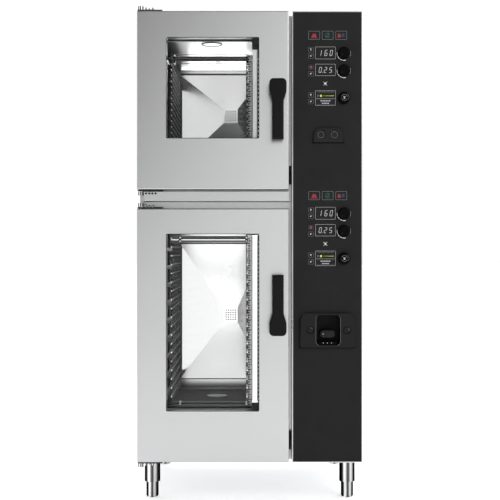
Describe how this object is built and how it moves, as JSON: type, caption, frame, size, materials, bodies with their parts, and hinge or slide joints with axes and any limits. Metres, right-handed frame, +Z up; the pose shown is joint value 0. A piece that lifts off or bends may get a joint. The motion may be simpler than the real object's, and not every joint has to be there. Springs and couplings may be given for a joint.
{
  "type": "combi steamer oven",
  "caption": "Stacked combi steamer ovens on four feet: glazed stainless doors with turning handles, tray racks inside and a black control panel at the right.",
  "frame": {"origin": "on the floor, centre of the footprint", "axes": "+X right, the doors and controls face -Y, +Z up"},
  "size_m": [0.852, 0.902, 1.905],
  "materials": {
    "stainless": "satin",
    "galvanised": "satin",
    "chrome": "gloss",
    "black_plastic": "satin",
    "black_panel": "satin",
    "display": "gloss",
    "glass": "gloss",
    "lamp": "satin",
    "seal": "matte",
    "wool": "matte",
    "motor_paint": "satin",
    "element": "satin",
    "brass": "satin",
    "grey_plastic": "satin",
    "board": "satin",
    "machined": "satin"
  },
  "bodies": {
    "root": {"base_frame": "galvanised", "cable_gland": "black_plastic", "control_boards": "board", "control_column": "stainless", "control_fascia": "black_panel", "displays": "display", "door_gaskets": "seal", "door_switches": "black_plastic", "drain_covers": "stainless", "drain_outlet": "grey_plastic", "drip_channel": "stainless", "exhaust_stacks": "stainless", "fan_baffles": "stainless", "fan_motors": "motor_paint", "foot_sleeves": "chrome", "front_frames": "stainless", "heating_elements": "element", "hinge_brackets": "stainless", "insulation": "wool", "left_side_panel": "stainless", "lower_cavity": "stainless", "lower_racks": "stainless", "probe_sockets": "black_plastic", "rear_panel": "stainless", "right_side_panel": "stainless", "roof_panel": "stainless", "shower_pocket": "black_plastic", "spray_nozzles": "machined", "steam_generators": "galvanised", "touch_keys": "black_panel", "upper_cavity": "stainless", "upper_racks": "stainless", "water_inlets": "brass"},
    "upper_door": {"upper_door_skin": "stainless", "upper_door_liner": "stainless", "upper_glass_panes": "glass", "upper_light_bar": "lamp"},
    "upper_handle": {"upper_handle": "black_plastic", "upper_latch": "machined"},
    "upper_fan": {"upper_fan_wheel": "stainless"},
    "upper_temperature_knob": {"upper_temperature_knob": "black_plastic"},
    "upper_time_knob": {"upper_time_knob": "black_plastic"},
    "upper_scroll_spindle": {"upper_scroll_spindle": "machined"},
    "upper_scroll_knob": {"upper_scroll_knob": "black_plastic"},
    "lower_door": {"lower_door_skin": "stainless", "lower_door_liner": "stainless", "lower_glass_panes": "glass", "lower_light_bar": "lamp"},
    "lower_handle": {"lower_handle": "black_plastic", "lower_latch": "machined"},
    "lower_fan": {"lower_fan_wheel": "stainless"},
    "lower_temperature_knob": {"lower_temperature_knob": "black_plastic"},
    "lower_time_knob": {"lower_time_knob": "black_plastic"},
    "lower_scroll_spindle": {"lower_scroll_spindle": "machined"},
    "lower_scroll_knob": {"lower_scroll_knob": "black_plastic"},
    "front_left_foot": {"front_left_foot": "chrome"},
    "front_right_foot": {"front_right_foot": "chrome"},
    "rear_left_foot": {"rear_left_foot": "chrome"},
    "rear_right_foot": {"rear_right_foot": "chrome"},
    "hand_shower": {"hand_shower": "black_plastic"}
  },
  "joints": [
    {"name": "upper_door_hinge", "type": "hinge", "parent": "root", "child": "upper_door", "pos_m": [-0.413, -0.364, 1.518], "axis": [0, 0, -1], "range_deg": [0, 120]},
    {"name": "upper_handle_turn", "type": "hinge", "parent": "upper_door", "child": "upper_handle", "pos_m": [0.105, -0.42, 1.5576], "axis": [0, 1, 0], "range_deg": [-90, 90]},
    {"name": "upper_fan_spin", "type": "hinge", "parent": "root", "child": "upper_fan", "pos_m": [-0.0825, 0.3, 1.534], "axis": [0, 1, 0], "continuous": true},
    {"name": "upper_temperature_turn", "type": "hinge", "parent": "root", "child": "upper_temperature_knob", "pos_m": [0.3555, -0.4, 1.6946], "axis": [0, -1, 0], "continuous": true},
    {"name": "upper_time_turn", "type": "hinge", "parent": "root", "child": "upper_time_knob", "pos_m": [0.3555, -0.4, 1.629], "axis": [0, -1, 0], "continuous": true},
    {"name": "upper_scroll_push", "type": "slide", "parent": "root", "child": "upper_scroll_spindle", "axis": [0, 1, 0], "range_m": [0, 0.0015], "stiffness_N_per_m": 600},
    {"name": "upper_scroll_turn", "type": "hinge", "parent": "upper_scroll_spindle", "child": "upper_scroll_knob", "pos_m": [0.3555, -0.4, 1.525], "axis": [0, -1, 0], "continuous": true},
    {"name": "lower_door_hinge", "type": "hinge", "parent": "root", "child": "lower_door", "pos_m": [-0.413, -0.364, 0.63], "axis": [0, 0, -1], "range_deg": [0, 120]},
    {"name": "lower_handle_turn", "type": "hinge", "parent": "lower_door", "child": "lower_handle", "pos_m": [0.105, -0.42, 0.6664], "axis": [0, 1, 0], "range_deg": [-90, 90]},
    {"name": "lower_fan_spin", "type": "hinge", "parent": "root", "child": "lower_fan", "pos_m": [-0.0825, 0.3, 0.671], "axis": [0, 1, 0], "continuous": true},
    {"name": "lower_temperature_turn", "type": "hinge", "parent": "root", "child": "lower_temperature_knob", "pos_m": [0.3555, -0.4, 1.09], "axis": [0, -1, 0], "continuous": true},
    {"name": "lower_time_turn", "type": "hinge", "parent": "root", "child": "lower_time_knob", "pos_m": [0.3555, -0.4, 1.0244], "axis": [0, -1, 0], "continuous": true},
    {"name": "lower_scroll_push", "type": "slide", "parent": "root", "child": "lower_scroll_spindle", "axis": [0, 1, 0], "range_m": [0, 0.0015], "stiffness_N_per_m": 600},
    {"name": "lower_scroll_turn", "type": "hinge", "parent": "lower_scroll_spindle", "child": "lower_scroll_knob", "pos_m": [0.3555, -0.4, 0.9204], "axis": [0, -1, 0], "continuous": true},
    {"name": "front_left_foot_level", "type": "slide", "parent": "root", "child": "front_left_foot", "axis": [0, 0, -1], "range_m": [0, 0.03]},
    {"name": "front_right_foot_level", "type": "slide", "parent": "root", "child": "front_right_foot", "axis": [0, 0, -1], "range_m": [0, 0.03]},
    {"name": "rear_left_foot_level", "type": "slide", "parent": "root", "child": "rear_left_foot", "axis": [0, 0, -1], "range_m": [0, 0.03]},
    {"name": "rear_right_foot_level", "type": "slide", "parent": "root", "child": "rear_right_foot", "axis": [0, 0, -1], "range_m": [0, 0.03]},
    {"name": "hand_shower_pull", "type": "slide", "parent": "root", "child": "hand_shower", "axis": [0, -1, 0], "range_m": [0, 0.2]}
  ]
}
